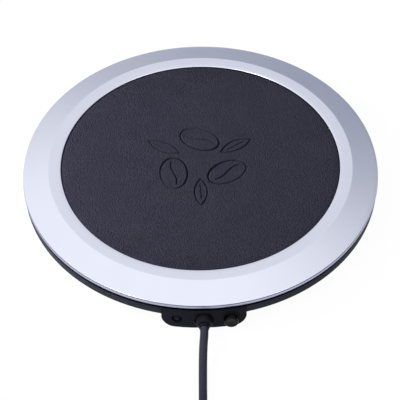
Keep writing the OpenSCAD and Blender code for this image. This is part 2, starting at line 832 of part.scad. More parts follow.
// The plug's grip, and behind it a relief whose ribs get narrower towards the lead
module plug_body() {
    ribs = [for (i = [0:rib_count - 1])
            let (r = plug_relief_r - (i + 1) * rib_taper, out = rib_first + i * rib_pitch)
            for (q = [[r, out], [r, out + rib_w], [plug_core_r, out + rib_w + rib_slope],
                      [plug_core_r, out + rib_pitch - rib_first]]) q];
    color("#26252b") {
        translate([plug_x, plug_mouth_y, plug_z]) rotate([90, 0, 0])
            linear_extrude(plug_body_l)
                rounded_rectangle(plug_body_w, plug_body_h, plug_body_edge);
        turned_y(plug_x, plug_body_y, plug_z) polygon(concat(
            [[0, -plug_sink], [plug_relief_r, -plug_sink], [plug_relief_r, 0]], ribs,
            [[plug_core_r, plug_relief_l], [0, plug_relief_l]]));
    }
}

module plug_shell() {
    bore_w = plug_shell_w - 2 * plug_shell_t;
    bore_h = plug_shell_h - 2 * plug_shell_t;
    color("#c9ccd0") translate([plug_x, plug_mouth_y + plug_shell_l, plug_z])
        rotate([90, 0, 0]) difference() {
            linear_extrude(plug_shell_l)
                rounded_rectangle(plug_shell_w, plug_shell_h, plug_shell_edge);
            translate([-bore_w / 2, -bore_h / 2, -past]) cube([bore_w, bore_h, plug_shell_l + 2 * past]);
            both_sides() translate([plug_window_x - plug_window_w / 2, 0, plug_window_y])
                cube([plug_window_w, plug_shell_h, plug_window_w]);
        }
}

module plug_tongue() {
    color("#e8e8e6")
        translate([plug_x - plug_tongue_w / 2, plug_mouth_y, plug_tongue_top_z - plug_tongue_h])
            cube([plug_tongue_w, plug_tongue_l, plug_tongue_h]);
}

module plug_contacts() {
    low_z = plug_tongue_top_z - plug_tongue_h - contact_t;
    color("#c9a24a") for (i = [0:contact_count - 1])
        translate([plug_x + (i - (contact_count - 1) / 2) * contact_pitch - contact_w / 2,
                   plug_mouth_y, low_z])
            cube([contact_w, contact_l, contact_t]);
}

base_shell();
top_frame();
trim_ring();
leather_pad();
heating_plate();
heater_film();
insulation_pad();
backing_plate();
backing_screws();
housing_screws();
non_slip_ring();
circuit_board();
switch_body();
switch_plunger();
button_cap();
button_spring();
indicator_led();
led_legs();
strain_relief();
lead_end();
cord_clamp();
clamp_screws();
supply_wires();
heater_wires();
thermal_cutout();
cutout_wires();
power_cord();
cord_coil();
cord_tail();
cord_tie();
plug_body();
plug_shell();
plug_tongue();
plug_contacts();
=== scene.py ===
import math
import bmesh
import bpy
import numpy as np
from mathutils import Matrix, Vector


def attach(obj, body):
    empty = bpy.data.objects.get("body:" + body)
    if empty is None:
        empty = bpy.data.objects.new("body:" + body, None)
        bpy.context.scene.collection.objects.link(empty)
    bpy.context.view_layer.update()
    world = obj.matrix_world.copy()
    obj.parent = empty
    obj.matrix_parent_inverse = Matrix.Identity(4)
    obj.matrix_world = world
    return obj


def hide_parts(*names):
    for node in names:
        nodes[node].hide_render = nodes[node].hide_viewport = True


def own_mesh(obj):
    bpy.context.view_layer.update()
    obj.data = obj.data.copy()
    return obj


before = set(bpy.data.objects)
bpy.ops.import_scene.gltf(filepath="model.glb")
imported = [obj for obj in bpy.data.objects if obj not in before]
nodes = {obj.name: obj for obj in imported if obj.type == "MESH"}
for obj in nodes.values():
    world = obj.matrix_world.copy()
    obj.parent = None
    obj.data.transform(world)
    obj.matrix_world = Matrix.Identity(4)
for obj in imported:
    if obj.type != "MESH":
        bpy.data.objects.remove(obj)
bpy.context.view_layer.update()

# Lengths are millimetres up to the point where a mesh is made, and metres in Blender.
mm = 0.001
weldDistance = 1e-7      # metres


# Where the camera stands, in mm and degrees.
camera = {
    "distance": 900.0,      # from the middle of the ring's flat band
    "elevation": 46.75,
    "azimuth": -0.45,       # a little to the left of the port block
    "roll": 0.88,
    "lens": 221.6,
    "bandHeight": 15.0,
    "aim": (-0.45, -17.66, 15.0),
}


# The camera stands on a sphere round the ring and looks at the aim point, turned about its own
# axis by the roll.
def placeCamera():
    e, a, roll = (math.radians(camera[k]) for k in ("elevation", "azimuth", "roll"))
    towards = Vector((math.sin(a) * math.cos(e), -math.cos(a) * math.cos(e), math.sin(e)))
    place = Vector((0, 0, camera["bandHeight"])) + camera["distance"] * towards
    forward = (Vector(camera["aim"]) - place).normalized()
    right = forward.cross(Vector((0, 0, 1))).normalized()
    up = right.cross(forward)
    rolledRight = right * math.cos(roll) - up * math.sin(roll)
    rolledUp = up * math.cos(roll) + right * math.sin(roll)
    data = bpy.data.cameras.new("camera")
    data.lens = camera["lens"]
    data.clip_start, data.clip_end = 0.05, 50
    obj = bpy.data.objects.new("camera", data)
    bpy.context.scene.collection.objects.link(obj)
    axes = Matrix((rolledRight, rolledUp, -forward)).transposed().to_4x4()
    obj.matrix_world = Matrix.Translation(place * mm) @ axes
    bpy.context.scene.camera = obj


placeCamera()
print("camera placed")


# Faces of a grid of points: each cell is a quad, and a wrapped side joins its last row or column
# to the first.
def gridFaces(rows, columns, wrapRows, wrapColumns):
    index = np.arange(rows * columns).reshape(rows, columns)
    if wrapRows:
        index = np.vstack([index, index[:1]])
    if wrapColumns:
        index = np.hstack([index, index[:, :1]])
    corners = index[:-1, :-1], index[:-1, 1:], index[1:, 1:], index[1:, :-1]
    return np.stack(corners, axis=-1).reshape(-1, 4)


# A mesh object from points in mm and quads: doubles merged, faces turned outwards, smooth up to
# a sharp angle in degrees.
def makeMesh(name, points, quads, sharp=40):
    mesh = bpy.data.meshes.new(name)
    mesh.from_pydata((np.asarray(points).reshape(-1, 3) * mm).tolist(), [], quads.tolist())
    work = bmesh.new()
    work.from_mesh(mesh)
    bmesh.ops.remove_doubles(work, verts=work.verts, dist=weldDistance)
    bmesh.ops.dissolve_degenerate(work, edges=work.edges, dist=weldDistance / 10)
    bmesh.ops.recalc_face_normals(work, faces=work.faces)
    work.to_mesh(mesh)
    work.free()
    mesh.polygons.foreach_set("use_smooth", np.ones(len(mesh.polygons), bool))
    mesh.set_sharp_from_angle(angle=math.radians(sharp))
    obj = bpy.data.objects.new(name, mesh)
    bpy.context.scene.collection.objects.link(obj)
    return obj


# Round corners of an outline: each corner (x, y, radius) becomes the arc that touches both its
# sides.
def roundedOutline(corners, steps=8, closed=True):
    corners = np.array(corners, float)
    count, outline = len(corners), []
    for i, (x, y, radius) in enumerate(corners):
        here = np.array([x, y])
        if radius == 0 or (not closed and i in (0, count - 1)):
            outline.append(here[None])
            continue
        a = corners[i - 1, :2] - here
        b = corners[(i + 1) % count, :2] - here
        a, b = a / np.linalg.norm(a), b / np.linalg.norm(b)
        half = math.acos(np.clip(a @ b, -1, 1)) / 2
        middle = here + (a + b) / np.linalg.norm(a + b) * radius / math.sin(half)
        start = here + a * radius / math.tan(half) - middle
        end = here + b * radius / math.tan(half) - middle
        first = math.atan2(start[1], start[0])
        turn = (math.atan2(end[1], end[0]) - first + math.pi) % (2 * math.pi) - math.pi
        angle = first + turn * np.linspace(0, 1, steps + 1)
        outline.append(middle + radius * np.stack([np.cos(angle), np.sin(angle)], axis=1))
    return np.vstack(outline)


# Points between an outline's corners, so that no stretch is longer than the step.
def subdivided(outline, step):
    ends = np.roll(outline, -1, axis=0)
    parts = [p + (q - p) * np.linspace(0, 1, max(1, math.ceil(np.linalg.norm(q - p) / step)),
                                       endpoint=False)[:, None] for p, q in zip(outline, ends)]
    return np.vstack(parts)


# A solid of revolution: profile points (radius, height) turned about the Z axis.
def revolved(name, profile, steps=256, sharp=40):
    angle = 2 * math.pi * np.arange(steps) / steps
    radius, height = profile[:, :1], profile[:, 1:2]
    grid = np.stack([radius * np.cos(angle), radius * np.sin(angle),
                     height + 0 * angle], axis=-1)
    return makeMesh(name, grid, gridFaces(len(profile), steps, True, True), sharp)


# The same about a line along Y through (x, z): profile points (radius, distance towards -Y from y).
def turnedAlongY(name, profile, x, y, z, steps=96, sharp=40):
    angle = 2 * math.pi * np.arange(steps) / steps
    radius, out = profile[:, :1], profile[:, 1:2]
    grid = np.stack([x + radius * np.cos(angle), y - out + 0 * angle,
                     z + radius * np.sin(angle)], axis=-1)
    return makeMesh(name, grid, gridFaces(len(profile), steps, True, True), sharp)


# A smooth curve through a route's points: each stretch is a cubic whose ends follow the chord of
# the neighbours.
def smoothRoute(route, steps):
    p = np.array(route, float)
    before, after = np.vstack([2 * p[0] - p[1], p[:-1]]), np.vstack([p[1:], 2 * p[-1] - p[-2]])
    chord = np.linalg.norm(p[1:] - p[:-1], axis=1)[:, None, None]
    lean = (after - before) / (np.linalg.norm(after - before, axis=1)[:, None] + 1e-12)
    t = np.linspace(0, 1, steps, endpoint=False)[None, :, None]
    a, b = p[:-1, None], p[1:, None]
    u, v = lean[:-1, None] * chord, lean[1:, None] * chord
    curve = ((2 * t**3 - 3 * t**2 + 1) * a + (t**3 - 2 * t**2 + t) * u
             + (3 * t**2 - 2 * t**3) * b + (t**3 - t**2) * v)
    return np.vstack([curve.reshape(-1, 3), p[-1:]])


# A round tube: at each point of the path a circle square to its heading, closed at both ends.
# The path never runs along the steady axis, which gives the circles their start.
def tube(name, path, radius, sides=16, steady=(0, 0, 1.0)):
    heading = np.gradient(path, axis=0)
    heading /= np.linalg.norm(heading, axis=1)[:, None]
    side = np.cross(heading, steady)
    side /= np.linalg.norm(side, axis=1)[:, None]
    over = np.cross(side, heading)
    angle = (2 * math.pi * np.arange(sides) / sides)[None, :, None]
    ring = np.cos(angle) * over[:, None] + np.sin(angle) * side[:, None]
    radius = np.full(len(path), radius)[:, None, None]
    grid = path[:, None] + radius * ring
    closed = np.vstack([np.repeat(path[:1], sides, axis=0)[None], grid,
                        np.repeat(path[-1:], sides, axis=0)[None]])
    return makeMesh(name, closed, gridFaces(len(closed), sides, False, True), 60)


# A power of a value's size, with its sign kept.
def signedPower(value, power):
    return np.sign(value) * np.abs(value) ** power


# The cubic step from 0 at the low value to 1 at the high one, level at both ends.
def smoothStep(low, high, value):
    t = np.clip((value - low) / (high - low), 0, 1)
    return t * t * (3 - 2 * t)


# Lead, coil and free end: one lead from the strain relief to the plug.
lead = {
    "diameter": 3.0,
    "length": 1201.0,
    "exit": [0, -69.6, 5.2],
    "route": [[0, -69.6, 5.2], [-0.12, -72.6, 5.1], [-0.45, -76.5, 4.4], [-0.7, -81, 3.1],
              [-0.85, -86, 2], [-0.95, -91, 1.5], [-1.05, -98, 1.5], [-1.15, -106, 1.5],
              [-1.2, -114, 1.5], [-1.2, -122, 1.8], [-1.2, -128, 2], [-1.2, -133, 2]],
    "freeEnd": [[-1.2, -139, 12.35], [-1.2, -142, 12.35], [-1.1, -147, 10.6], [-0.8, -152, 7.6],
                [-0.3, -157, 4.4], [0.6, -162, 2.2], [2.2, -166.5, 1.5], [5.2, -170.3, 1.5],
                [9.6, -171.99, 1.5], [14, -171, 1.5], [17.6, -168, 1.5], [19.6, -164, 1.9],
                [20.4, -160, 3], [20.4, -156, 3.75], [20.4, -153, 3.75]],
    "coilStart": (-1.2, -136.0),
    "coilHeight": 2.0,
    "coilMeanRadius": 17.0,
    "pitch": 3.45,
    "layers": 4,
    "layerTurns": 2.5,
    "stepsPerTurn": 72,
    "stepsPerStretch": 8,
    "sides": 18,
    "offTable": 0.01,       # least gap between the lead and the table
}


# The coil spirals in and out at a steady rate, layer on layer, and climbs in the half turn round
# each reversal.
def coilPath():
    turns = lead["layers"] * lead["layerTurns"]
    t = np.linspace(0, turns, int(turns * lead["stepsPerTurn"]) + 1)
    half = lead["layerTurns"] * lead["pitch"] / 2
    share = t / lead["layerTurns"]
    zigzag = np.abs((share + 1) % 2 - 1)
    radius = lead["coilMeanRadius"] + half * (1 - 2 * zigzag)
    climb = sum(np.clip((t - k * lead["layerTurns"]) * 2 + 0.5, 0, 1)
                for k in range(1, lead["layers"]))
    x, y = lead["coilStart"]
    centre = x - lead["coilMeanRadius"] - half
    return np.stack([centre + radius * np.cos(2 * math.pi * t),
                     y - radius * np.sin(2 * math.pi * t),
                     lead["coilHeight"] + lead["pitch"] * climb], axis=1)


# One tube along the route, the coil and the free end, nowhere lower than the table.
def makeLead():
    steps = lead["stepsPerStretch"]
    path = np.vstack([smoothRoute(lead["route"], steps), coilPath(),
                      smoothRoute(lead["freeEnd"], steps)])
    path[:, 2] = np.maximum(path[:, 2], lead["diameter"] / 2 + lead["offTable"])
    cable = tube("lead", path, lead["diameter"] / 2, lead["sides"])
    along = np.linalg.norm(np.diff(path, axis=0), axis=1).sum()
    print("lead made, length in mm", round(float(along), 1))
    return cable, path


leadPiece, leadPath = makeLead()
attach(leadPiece, "housing")
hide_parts("power_cord", "cord_coil", "cord_tail")


# Strap round the coil.
strap = {
    "width": 5.6,
    "thickness": 0.44,
    "inner": 11.34,      # from the coil's centre to the strap's inner side
    "outer": 22.46,
    "top": 13.72,
    "low": 0.06,
    "slack": 0.2,        # room over the coil
    "lowCorner": 0.7,
    "topCorner": 1.5,
    "step": 0.4,
    "sides": 24,
}


# A flat band: an oval section carried round a rounded rectangle in the plane that cuts the coil.
# The section is cos and sin to small powers, which gives it straight sides and round corners.
def makeStrap():
    half = strap["thickness"] / 2
    near, far = strap["inner"] - half, strap["outer"] + half
    low, high = strap["low"] + half, strap["top"] + half + strap["slack"]
    lowCorner, topCorner = strap["lowCorner"], strap["topCorner"]
    corners = [[near, low, lowCorner], [far, low, lowCorner], [far, high, topCorner],
               [near, high, topCorner]]
    loop = subdivided(roundedOutline(corners, steps=10), strap["step"])
    heading = np.roll(loop, -1, axis=0) - np.roll(loop, 1, axis=0)
    heading /= np.linalg.norm(heading, axis=1)[:, None]
    outwards = np.stack([heading[:, 1], -heading[:, 0]], axis=1)
    angle = 2 * math.pi * np.arange(strap["sides"]) / strap["sides"]
    across = signedPower(np.cos(angle), 0.3) * strap["width"] / 2
    deep = signedPower(np.sin(angle), 0.5) * half
    x, y = lead["coilStart"]
    centre = x - lead["coilMeanRadius"] - lead["layerTurns"] * lead["pitch"] / 2
    section = loop[:, None] + deep[None, :, None] * outwards[:, None]
    grid = np.stack([centre + across[None] + 0 * section[..., 0], y - section[..., 0],
                     section[..., 1]], axis=-1)
    return makeMesh("strap", grid, gridFaces(len(loop), strap["sides"], True, True), sharp=60)


strapPiece = makeStrap()
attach(strapPiece, "housing")
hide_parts("cord_tie")
print("strap made")


# Plug grip, and the ribbed sleeve behind it.
grip = {
    "x": 20.4,
    "z": 3.75,
    "mouth": -121.0,      # where the metal shell leaves the grip
    "back": -143.0,
    "width": 15.5,
    "height": 7.5,
    "power": 2 / 5,       # the smaller, the squarer the section
    "edge": 0.9,          # radius at both ends
    "taper": 0.1,         # share of the width that is lost towards the mouth
    "taperHeight": 0.3,   # of that share, what the height loses
    "taperLength": 9.0,
    "ridges": 5,
    "ridgeStep": 1.9,
    "ridgeDepth": 0.28,
    "ridgeShift": 1.0,    # of the grooves' middle, towards the mouth
    "sides": 120,
    "rows": 150,
    "endRows": 6,
}

sleeve = {
    "end": -153.0,
    "radius": 2.95,
    "tip": 2.15,
    "inGrip": 0.6,
    "ribStart": 0.8,
    "ribStep": 2.6,
    "ribDepth": 0.55,
    "plainEnd": 1.2,      # without ribs, before the tip
    "tipEdge": 0.35,
    "rows": 160,
}


# The grip is a rounded box section carried along Y, drawn in at both ends by a quarter circle,
# with finger grooves of sine squared on its flat faces.
def makeGrip():
    g = grip
    angle = 2 * math.pi * (np.arange(g["sides"]) + 0.5) / g["sides"]
    wide = signedPower(np.cos(angle), g["power"]) * g["width"] / 2
    tall = signedPower(np.sin(angle), g["power"]) * g["height"] / 2
    rows, endRows = g["rows"], g["endRows"]
    y = np.concatenate([np.full(endRows, g["mouth"]), np.linspace(g["mouth"], g["back"], rows),
                        np.full(endRows, g["back"])])
    cap = np.concatenate([np.linspace(0, 1, endRows), np.ones(rows), np.linspace(1, 0, endRows)])
    ends = np.minimum(g["mouth"] - y, y - g["back"])
    roundOff = g["edge"] * (1 - np.sqrt(1 - (1 - np.clip(ends / g["edge"], 0, 1)) ** 2))
    taper = 1 - g["taper"] * smoothStep(g["mouth"] - g["taperLength"], g["mouth"], y)
    fromMiddle = (y - (g["mouth"] + g["back"]) / 2 - g["ridgeShift"]) / g["ridgeStep"]
    inGrooves = np.abs(fromMiddle) < g["ridges"] / 2
    groove = g["ridgeDepth"] * np.sin(math.pi * fromMiddle) ** 2 * inGrooves
    flat = smoothStep(0.75, 0.45, np.abs(wide) / (g["width"] / 2))
    halfWide = (wide[None] * taper[:, None] - np.sign(wide) * roundOff[:, None]) * cap[:, None]
    lower = 1 - g["taperHeight"] * (1 - taper[:, None])
    halfTall = (tall[None] * lower - np.sign(tall) * roundOff[:, None]
                - np.sign(tall) * flat * groove[:, None]) * cap[:, None]
    grid = np.stack([g["x"] + halfWide, y[:, None] + 0 * halfWide, g["z"] + halfTall], axis=-1)
    return makeMesh("plugGrip", grid, gridFaces(len(y), g["sides"], False, True), sharp=50)


# The sleeve behind the grip narrows evenly towards the lead, with a groove at each rib's step.
def makeSleeve():
    s = sleeve
    long = grip["back"] - s["end"]
    out = np.linspace(-s["inGrip"], long, s["rows"])
    wave = ((out - s["ribStart"]) / s["ribStep"]) % 1.0
    ribbed = (out > s["ribStart"]) & (out < long - s["plainEnd"])
    radius = s["radius"] + (s["tip"] - s["radius"]) * np.clip(out / long, 0, 1)
    rib = smoothStep(0.58, 0.68, wave) * smoothStep(1.0, 0.9, wave)
    radius = radius - ribbed * s["ribDepth"] * rib
    radius = radius - s["tipEdge"] * smoothStep(long - 0.4, long, out) ** 2
    profile = np.vstack([[[0, out[0]]], np.stack([radius, out], axis=1), [[0, out[-1]]]])
    return turnedAlongY("plugSleeve", profile, grip["x"], grip["back"], grip["z"],
                        steps=64, sharp=50)


gripPiece, sleevePiece = makeGrip(), makeSleeve()
for piece in (gripPiece, sleevePiece):
    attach(piece, "housing")
    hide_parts("plug_body")
print("plug made")


# Trim ring.
ring = {
    "radius": 65.0,
    "inner": 51.0,
    "top": 15.0,
    "bandWidth": 4.6,
    "bevelDrop": 2.95,
    "lipStep": 0.1,
    "grooveDepth": 0.35,
    "grooveWidth": 0.35,
    "beadDrop": 0.65,       # from the bevel's edge down to the bead under the groove
    "lipLow": 10.45,
    "deck": 11.1,
    "hollow": 61.6,
    "thickness": 1.5,
    "step": 1.6,            # longest straight piece of the profile
}


# One closed profile, turned: inner wall, flat band, sloping bevel, a fine groove, the bead below
# it, and the hollow. Each corner is its radius from the axis, its height and its edge's radius.
def makeRing():
    r = ring
    band = r["inner"] + r["bandWidth"]
    edge, edgeHeight = r["radius"] - r["lipStep"], r["top"] - r["bevelDrop"]
    slope = r["bevelDrop"] / (edge - band)
    bead = edgeHeight - r["beadDrop"]
    grooveTop = bead + r["grooveWidth"]
    under = r["top"] - r["thickness"]
    corners = [[r["inner"], r["deck"], 0.1], [r["inner"], r["top"], 0.3], [band, r["top"], 0.5],
               [edge, edgeHeight, 0.16], [edge, grooveTop + 0.1, 0.04],
               [edge - r["grooveDepth"], grooveTop, 0.08], [edge - r["grooveDepth"], bead, 0.08],
               [r["radius"], bead, 0.16], [r["radius"], r["lipLow"], 0.2],
               [r["radius"] - r["thickness"], r["lipLow"], 0.1],
               [r["radius"] - r["thickness"], r["deck"], 0], [r["hollow"], r["deck"], 0.1],
               [r["hollow"], under - slope * (r["hollow"] - band), 0.1], [band - 0.2, under, 0.3],
               [r["inner"] + r["thickness"], under, 0.2],
               [r["inner"] + r["thickness"], r["deck"], 0.1]]
    profile = subdivided(roundedOutline(corners, steps=6), r["step"])
    return revolved("trimRing", profile, steps=360, sharp=50)


ringPiece = makeRing()
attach(ringPiece, "housing")
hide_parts("trim_ring")
print("ring made")


# Leather pad with its pressed design.
leather = {
    "radius": 50.88,
    "top": 14.68,
    "low": 13.12,
    "rollWidth": 2.6,        # the edge rolls down over this width
    "rollDrop": 0.3,
    "rollPower": 2.4,
    "edgeRadius": 0.4,
    "patch": 23.0,           # half the side of the finely meshed middle
    "patchCells": 256,
    "outerRings": 22,
    "grooveDepth": 0.56,
    "grooveHalfWidth": 0.44,
    "shoulderShare": 0.07 / 0.34,  # of a groove's depth, taken off at its sides
    "shoulderWidth": 0.35,
    "designPlace": (0.0, 2.0),
    "beanRing": 11.2,        # from the design's middle to a bean's
    "beanHalf": (7.6, 5.0),
    "beanTilt": 62,
    "beanSwell": 0.35,       # how much the outline's width varies round a bean
    "swellTurn": 2.2,        # where it is widest, in radians
    "creaseSwing": 0.95,
    "creaseSlope": 0.35,
    "creaseWidth": 0.9,      # of grooveHalfWidth
    "leafRing": 15.2,
    "leafHalf": (6.4, 2.3),
    "leafWidth": 0.85,
    "ribWidth": 0.65,
    "ribSwing": 0.25,
}


# Depth of a pressed line at distance d from its middle: a smooth step down to a soft bottom, less
# a bell curve on both sides, which rounds the line's edges.
def pressedLine(d, halfWidth):
    line = leather["grooveDepth"] * (1 - smoothStep(0.15, 1.0, np.abs(d) / halfWidth))
    side = (np.abs(d) - 1.35 * halfWidth) / leather["shoulderWidth"]
    return line - leather["shoulderShare"] * leather["grooveDepth"] * np.exp(-side**2)


# Distance from an ellipse, near its outline: its level function over the size of its slope.
def ellipseDistance(p, q, a, b):
    tiny = 1e-9
    f = np.sqrt((p / a) ** 2 + (q / b) ** 2) + tiny
    return f * (f - 1) / (np.sqrt((p / a**2) ** 2 + (q / b**2) ** 2) + tiny)


# Distance from a leaf between two arcs: the larger of the distances from the arcs' circles.
def leafDistance(p, q, a, b):
    arc = (a * a + b * b) / (2 * b)
    return np.maximum(np.hypot(p, q - arc + b), np.hypot(p, q + arc - b)) - arc


# Coordinates turned by a heading in degrees, along it and across it.
def turned(x, y, heading):
    angle = math.radians(heading)
    return (x * math.cos(angle) + y * math.sin(angle),
            -x * math.sin(angle) + y * math.cos(angle))


# A bean's outline, thicker on one side by a cosine, and its crease: one wave of a sine along its
# length, divided by the length of its own slope so that it keeps its width.
def beanDepth(x, y, heading):
    u, v = turned(x, y, heading)
    p, q = turned(u - leather["beanRing"], v, leather["beanTilt"])
    (a, b), width = leather["beanHalf"], leather["grooveHalfWidth"]
    d = ellipseDistance(p, q, a, b)
    swell = width * (1 + leather["beanSwell"] * np.cos(np.arctan2(q, p) - leather["swellTurn"]))
    crease = q - leather["creaseSwing"] * np.sin(math.pi * p / a)
    crease = crease / np.hypot(1, leather["creaseSlope"] * np.cos(math.pi * p / a))
    inside = smoothStep(0.2, -1.2, d + 1.2)
    return np.maximum(pressedLine(d, swell),
                      pressedLine(crease, width * leather["creaseWidth"]) * inside)


# A leaf's outline, and its rib: a slight wave along it, which stops short of both tips.
def leafDepth(x, y, heading):
    u, v = turned(x, y, heading)
    u = u - leather["leafRing"]
    (a, b), width = leather["leafHalf"], leather["grooveHalfWidth"]
    d = leafDistance(u, v, a, b)
    rib = v - leather["ribSwing"] * np.sin(u / a * 2)
    inside = smoothStep(-0.9, -1.6, d) * smoothStep(-a, -a + 2, u)
    return np.maximum(pressedLine(d, width * leather["leafWidth"]),
                      pressedLine(rib, width * leather["ribWidth"]) * inside)


# The pressed design: three coffee beans round its middle, and a leaf between each two.
def designDepth(x, y):
    cx, cy = leather["designPlace"]
    depth = np.zeros_like(x)
    for heading in (90, 210, 330):
        depth = np.maximum(depth, beanDepth(x - cx, y - cy, heading))
        depth = np.maximum(depth, leafDepth(x - cx, y - cy, heading - 60))
    return depth


# Height of the top: flat, with a fall by a power of the distance over the last millimetres.
def leatherHeight(x, y):
    r = np.hypot(x, y)
    t = np.clip((r - leather["radius"] + leather["rollWidth"]) / leather["rollWidth"], 0, 1)
    fall = leather["rollDrop"] * t ** leather["rollPower"]
    return leather["top"] - fall - designDepth(x, y)


# A square grid in the middle, rings that go from the square to the circle, then the edge and the
# flat underside.
def makeLeather():
    n, half, radius = leather["patchCells"], leather["patch"], leather["radius"]
    line = np.linspace(-half, half, n + 1)
    px, py = np.meshgrid(line, line)
    patch = np.stack([px, py, leatherHeight(px, py)], axis=-1)
    side = np.linspace(-half, half, n, endpoint=False)
    full = np.full(n, half)
    square = np.vstack([np.stack([side, -full], 1), np.stack([full, side], 1),
                        np.stack([-side, full], 1), np.stack([-full, -side], 1)])
    angle = np.arctan2(square[:, 1], square[:, 0])
    inset = radius - leather["edgeRadius"] * 0.35
    circle = inset * np.stack([np.cos(angle), np.sin(angle)], axis=1)
    t = 1 - (1 - np.linspace(0, 1, leather["outerRings"])[:, None, None]) ** 2
    outer = square[None] * (1 - t) + circle[None] * t
    top = np.concatenate([outer, leatherHeight(outer[..., 0], outer[..., 1])[..., None]], axis=-1)
    rim = leather["top"] - leather["rollDrop"]
    edge = np.array([[inset + 0.1, rim - 0.06], [radius - 0.03, rim - 0.2], [radius, rim - 0.4],
                     [radius, leather["low"] + 0.3], [radius - 0.08, leather["low"] + 0.1],
                     [radius - 0.3, leather["low"]], [radius * 0.66, leather["low"]],
                     [radius * 0.33, leather["low"]], [0, leather["low"]]])
    around = np.stack([np.cos(angle), np.sin(angle)], axis=1)
    heights = np.broadcast_to(edge[:, None, 1:], (len(edge), len(angle), 1))
    below = np.concatenate([edge[:, None, :1] * around[None], heights], axis=-1)
    skirt = np.concatenate([top, below])
    points = np.vstack([patch.reshape(-1, 3), skirt.reshape(-1, 3)])
    skirtQuads = gridFaces(len(skirt), len(angle), False, True) + (n + 1) ** 2
    quads = np.vstack([gridFaces(n + 1, n + 1, False, False), skirtQuads])
    return makeMesh("leatherPad", points, quads, sharp=70)


leatherPiece = makeLeather()
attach(leatherPiece, "housing")
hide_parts("leather_pad")
print("leather made")


# Button cap.
button = {
    "x": 9.5,
    "z": 5.2,
    "front": -67.31,
    "back": -62.0,
    "radius": 2.55,
    "flange": 3.0,
    "flangeFront": -62.8,
    "edge": 0.45,
    "land": 0.25,        # between the dish and the rounded edge
    "dish": 0.16,
    "sink": 0.03,        # of the dish's rim, below the edge's top
    "socket": (1.35, 2.5),
}


# A turned cap: a slightly hollow face, a parabola in section, inside a rounded edge, a flange
# behind the wall, and the shaft's socket.
def makeButton():
    b = button
    long, flange = b["back"] - b["front"], b["back"] - b["flangeFront"]
    rim = b["radius"] - b["edge"]
    dishRadius = rim - b["land"]
    r = np.linspace(0, dishRadius, 14)
    depth = b["dish"] * (1 - (r / dishRadius) ** 2)
    face = np.stack([r, long - depth - b["sink"]], axis=1)
    turn = np.linspace(math.pi / 2, 0, 10)
    edge = np.stack([rim + b["edge"] * np.cos(turn),
                     long - b["edge"] + b["edge"] * np.sin(turn)], axis=1)
    rest = np.array([[b["radius"], flange + 0.1], [b["radius"] + 0.06, flange],
                     [b["flange"] - 0.1, flange], [b["flange"], flange - 0.1],
                     [b["flange"], 0.05], [b["flange"] - 0.05, 0], [b["socket"][0], 0],
                     b["socket"], [0, b["socket"][1]]])
    profile = np.vstack([face, edge, rest])
    return turnedAlongY("buttonCap", profile, b["x"], b["back"], b["z"], steps=96, sharp=50)


buttonPiece = makeButton()
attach(buttonPiece, "button")
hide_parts("button_cap")

# Lamp beside the button.
lamp = {
    "x": -9.5,
    "z": 5.2,
    "nose": -64.95,
    "length": 6.14,
    "radius": 1.5,
    "flange": 1.9,
    "flangeThickness": 1.0,
    "flangeEdge": 0.06,
}


# A cylinder with half a ball as its nose and a thin flange at its back.
def makeLamp():
    p = lamp
    radius, flange, thick, edge = p["radius"], p["flange"], p["flangeThickness"], p["flangeEdge"]
    turn = np.linspace(math.pi / 2, 0, 24)
    nose = np.stack([radius * np.cos(turn),
                     p["length"] - radius + radius * np.sin(turn)], axis=1)
    rest = np.array([[radius, thick + edge], [radius + 0.05, thick], [flange - edge, thick],
                     [flange, thick - edge], [flange, edge], [flange - edge, 0], [0, 0]])
    return turnedAlongY("indicatorLamp", np.vstack([nose, rest]), p["x"],
                        p["nose"] + p["length"], p["z"], steps=64, sharp=50)


lampPiece = makeLamp()
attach(lampPiece, "housing")
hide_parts("indicator_led")
print("button and lamp made")


# Return spring behind the cap.
spring = {
    "radius": 2.2,
    "wireRadius": 0.18,
    "wireSides": 10,
    "switchFace": -58.5,  # where it ends; it starts at the cap's back
    "gap": 0.02,
    "turns": 5.0,
    "stepsPerTurn": 40,
    "closedTurns": 0.8,  # of each end, wound wire on wire
    "travel": 1.2,
}


# A helix about the button's axis: it climbs by one wire a turn at both ends, and evenly between
# them.
def makeSpring():
    s = spring
    first = button["back"] + s["wireRadius"] + s["gap"]
    last = s["switchFace"] - s["wireRadius"] - s["gap"]
    t = np.linspace(0, s["turns"], int(s["turns"] * s["stepsPerTurn"]) + 1)
    closed, rise = s["closedTurns"], 2 * s["wireRadius"] * s["closedTurns"]
    y = np.interp(t, [0, closed, s["turns"] - closed, s["turns"]],
                  [first, first + rise, last - rise, last])
    path = np.stack([button["x"] + s["radius"] * np.cos(2 * math.pi * t), y,
                     button["z"] + s["radius"] * np.sin(2 * math.pi * t)], axis=1)
    return tube("returnSpring", path, s["wireRadius"], s["wireSides"], steady=(0, 1.0, 0))


springPiece = makeSpring()
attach(springPiece, "housing")
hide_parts("button_spring")
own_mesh(springPiece)
print("spring made")


# sRGB hex to the linear colour that Blender's sockets take.
def linearColour(hexCode):
    value = [int(hexCode[i:i + 2], 16) / 255 for i in (1, 3, 5)]
    return (*[c / 12.92 if c <= 0.04045 else ((c + 0.055) / 1.055) ** 2.4 for c in value], 1)


# Adds a node, sets its own properties and then its sockets' values, by name or by number, and
# links its inputs.
def addNode(tree, kind, settings=None, links=None):
    node = tree.nodes.new(kind)
    for key, value in (settings or {}).items():
        if isinstance(key, str) and hasattr(node, key):
            setattr(node, key, value)
        else:
            node.inputs[key].default_value = value
    for key, source in (links or {}).items():
        tree.links.new(source, node.inputs[key])
    return node


# A texture's scale for a grain of so many mm.
def scaleFor(grain):
    return 1000.0 / grain


